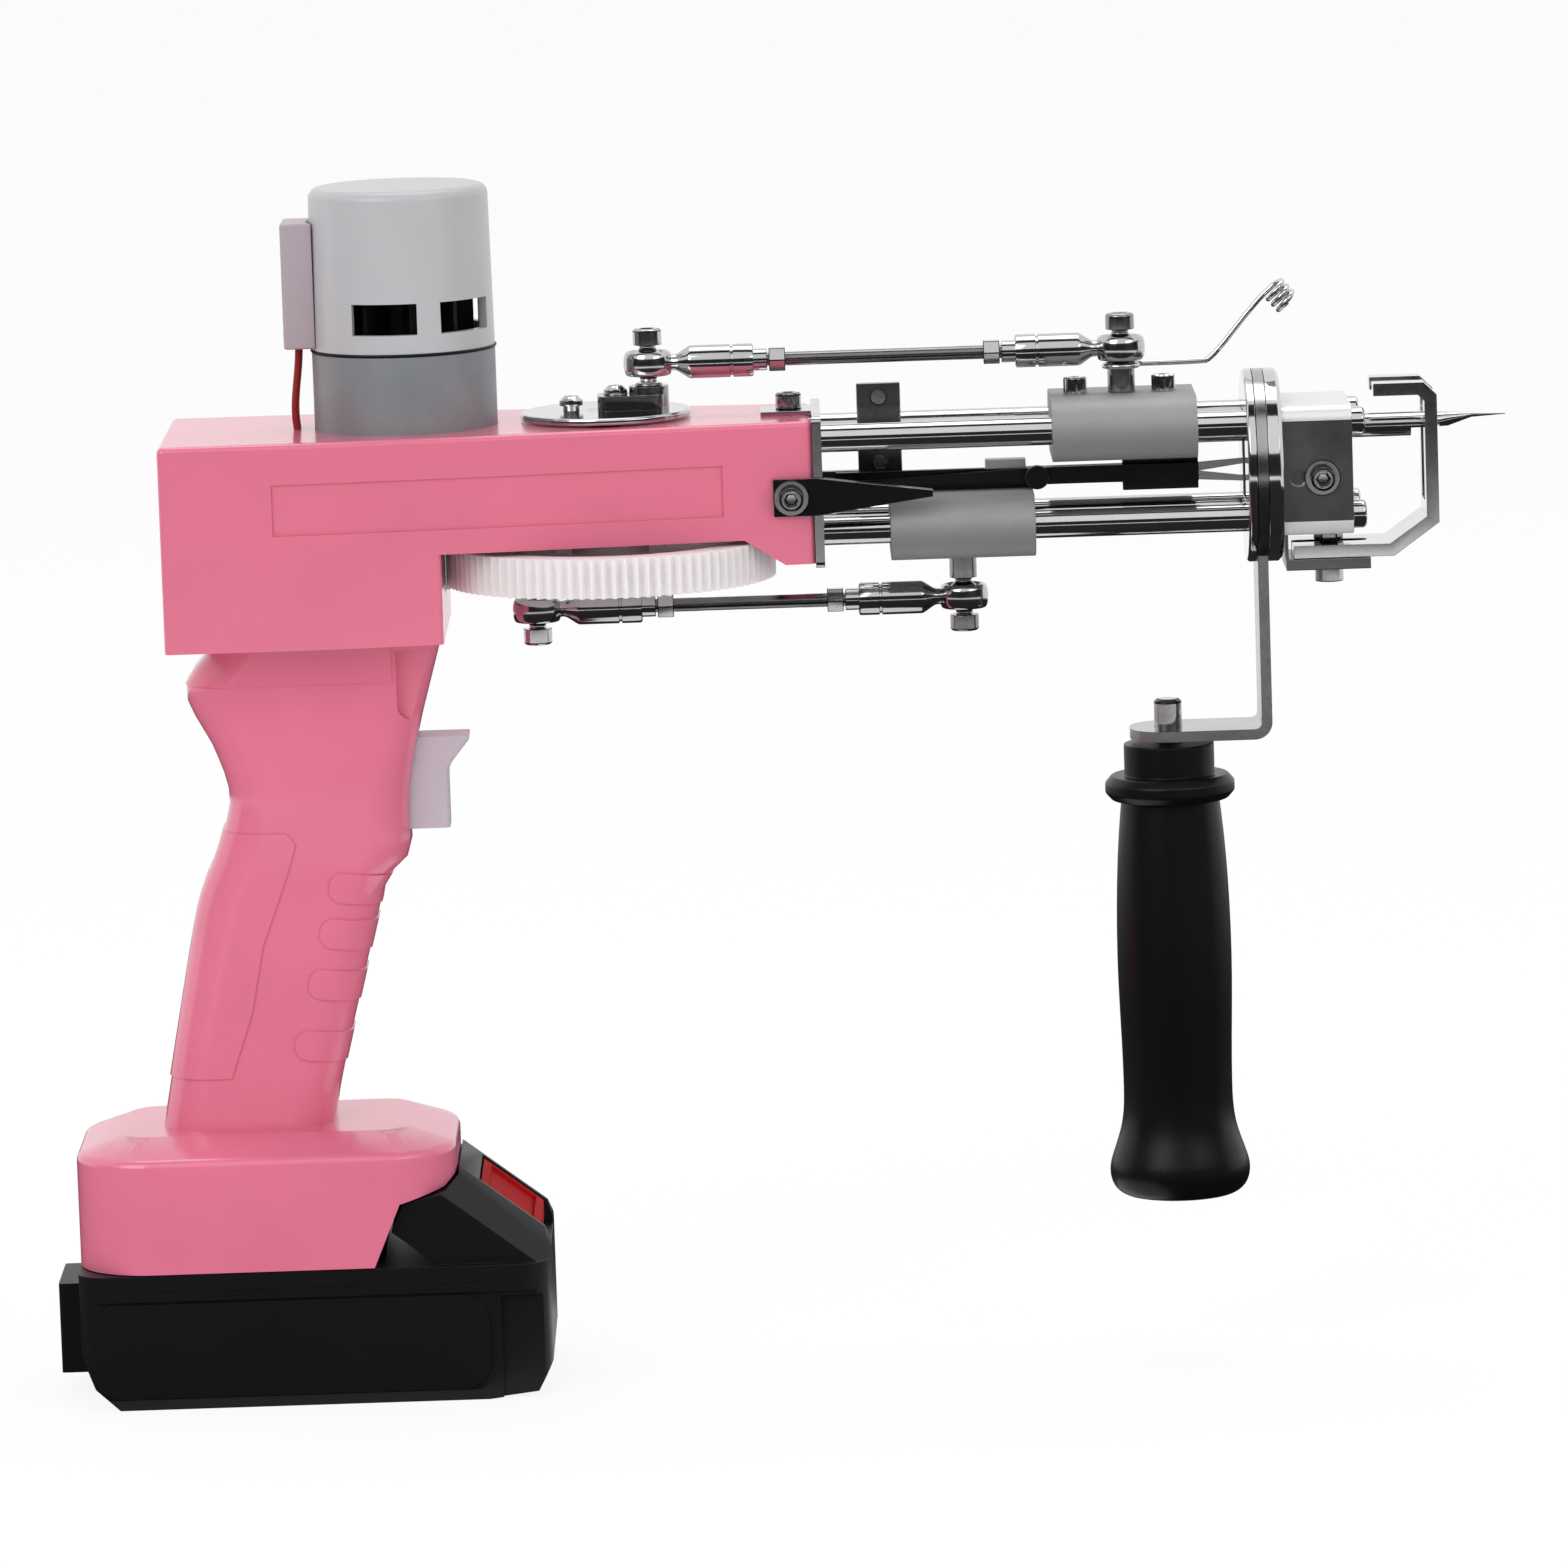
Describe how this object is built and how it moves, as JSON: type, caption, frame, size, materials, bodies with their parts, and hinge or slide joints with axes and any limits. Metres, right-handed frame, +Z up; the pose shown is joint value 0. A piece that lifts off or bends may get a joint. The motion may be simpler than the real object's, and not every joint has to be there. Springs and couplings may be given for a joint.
{
  "type": "tufting tool",
  "caption": "Battery tufting tool: a geared motor turns a crank that drives a needle carriage and a scissor carriage on four guide rods, with a pistol grip and a side handle.",
  "frame": {"origin": "centre of the battery's flat underside", "axes": "+X forward to the needle, +Z up, -Y is the side that the picture shows"},
  "size_m": [0.4206, 0.0938, 0.3435],
  "materials": {
    "pink_plastic": "glossy moulded plastic",
    "pink_handle": "glossy moulded plastic",
    "cap_plastic": "pale silver plastic",
    "motor_steel": "grey motor can",
    "steel": "turned steel",
    "chrome": "polished chrome",
    "nylon": "translucent white nylon",
    "satin_aluminium": "satin anodised aluminium",
    "dark_steel": "blackened steel",
    "zinc": "dark zinc plate",
    "bright_steel": "ground steel",
    "trigger_plastic": "pale lilac plastic",
    "black_plastic": "black moulded plastic",
    "red_plastic": "red moulded plastic",
    "cell_wrap": "wrapped cell, as dense as aluminium",
    "copper": "wound armature",
    "lead_rubber": "insulated leads",
    "black_rubber": "black rubber"
  },
  "bodies": {
    "frame": {"gear_housing": "pink_plastic", "left_handle": "pink_handle", "right_handle": "pink_handle", "motor_plate": "steel", "motor_can": "motor_steel", "motor_magnets": "dark_steel", "motor_end_cap": "cap_plastic", "terminal_cover": "cap_plastic", "motor_leads": "lead_rubber", "crank_bearings": "steel", "guide_rods": "chrome", "front_plate": "steel", "housing_screws": "steel", "rear_flange": "chrome", "front_flange": "zinc", "head_block": "zinc", "wedge_plate": "dark_steel", "tail_bracket": "dark_steel", "trigger_switch": "black_plastic", "contact_block": "black_plastic", "clamp_plate": "zinc"},
    "crank": {"drive_gear": "nylon", "crank_shaft": "steel", "crank_disc": "chrome", "crank_block": "dark_steel", "crank_screws": "chrome", "crank_studs": "steel"},
    "armature": {"motor_shaft": "steel", "motor_armature": "copper", "cooling_fan": "black_plastic", "motor_pinion": "steel"},
    "needle_slide": {"needle_carriage": "satin_aluminium", "needle_set_screws": "steel", "needle_ball_stud": "chrome", "needle": "bright_steel", "yarn_guide": "chrome"},
    "upper_link": {"upper_rod_ends": "chrome", "upper_rod_locknuts": "chrome", "upper_rod": "steel", "upper_rod_ball": "chrome"},
    "scissor_slide": {"scissor_carriage": "satin_aluminium", "scissor_ball_stud": "chrome", "fixed_scissor_bar": "dark_steel", "scissor_pivot": "steel", "fixed_blade": "bright_steel"},
    "lower_link": {"lower_rod_ends": "chrome", "lower_rod_locknuts": "chrome", "lower_rod": "steel", "lower_rod_ball": "chrome"},
    "moving_scissor": {"moving_scissor_bar": "dark_steel", "moving_blade": "bright_steel"},
    "trigger": {"trigger": "trigger_plastic"},
    "battery": {"battery_lower_case": "black_plastic", "battery_upper_case": "black_plastic", "battery_cells": "cell_wrap"},
    "release_button": {"release_button": "red_plastic"},
    "side_handle": {"handle_strap": "chrome", "grip_bolt": "steel", "rubber_grip": "black_rubber"},
    "presser": {"presser_foot": "chrome"}
  },
  "joints": [
    {"name": "crank_turn", "type": "hinge", "parent": "frame", "child": "crank", "pos_m": [0.09415, 0, 0.25], "axis": [0, 0, 1], "continuous": true},
    {"name": "armature_turn", "type": "hinge", "parent": "frame", "child": "armature", "pos_m": [0.0375, 0, 0.25], "axis": [0, 0, 1], "continuous": true},
    {"name": "needle_stroke", "type": "slide", "parent": "frame", "child": "needle_slide", "axis": [1, 0, 0], "range_m": [-0.025, 0]},
    {"name": "scissor_stroke", "type": "slide", "parent": "frame", "child": "scissor_slide", "axis": [1, 0, 0], "range_m": [0, 0.043]},
    {"name": "upper_link_swing", "type": "hinge", "parent": "needle_slide", "child": "upper_link", "pos_m": [0.2408, 0, 0.2904], "axis": [0, 0, 1], "range_deg": [-5.4, 5.4]},
    {"name": "lower_link_swing", "type": "hinge", "parent": "scissor_slide", "child": "lower_link", "pos_m": [0.1943, 0, 0.221], "axis": [0, 0, 1], "range_deg": [-10.3, 10.3]},
    {"name": "scissor_snip", "type": "hinge", "parent": "scissor_slide", "child": "moving_scissor", "pos_m": [0.216, 0, 0.2546], "axis": [0, 1, 0], "range_deg": [0, 2.5]},
    {"name": "trigger_pull", "type": "slide", "parent": "frame", "child": "trigger", "axis": [-1, 0, 0], "range_m": [0, 0.006], "stiffness_N_per_m": 600, "springref_m": -0.004},
    {"name": "battery_slide", "type": "slide", "parent": "frame", "child": "battery", "axis": [1, 0, 0], "range_m": [0, 0.085]},
    {"name": "release_press", "type": "slide", "parent": "battery", "child": "release_button", "axis": [0, 0, -1], "range_m": [0, 0.002], "stiffness_N_per_m": 1500, "springref_m": -0.001},
    {"name": "side_handle_turn", "type": "hinge", "parent": "frame", "child": "side_handle", "pos_m": [0.279, 0, 0.25567], "axis": [1, 0, 0], "range_deg": [-90, 90]},
    {"name": "presser_depth", "type": "slide", "parent": "frame", "child": "presser", "axis": [1, 0, 0], "range_m": [-0.001, 0.006]}
  ],
  "couplings": [
    {"joint": "armature_turn", "follows": "crank_turn", "ratio": -4.381},
    {"joint": "scissor_stroke", "follows": "needle_stroke", "ratio": -1.72},
    {"joint": "scissor_snip", "follows": "needle_stroke", "rad_per_m": -1.745}
  ]
}
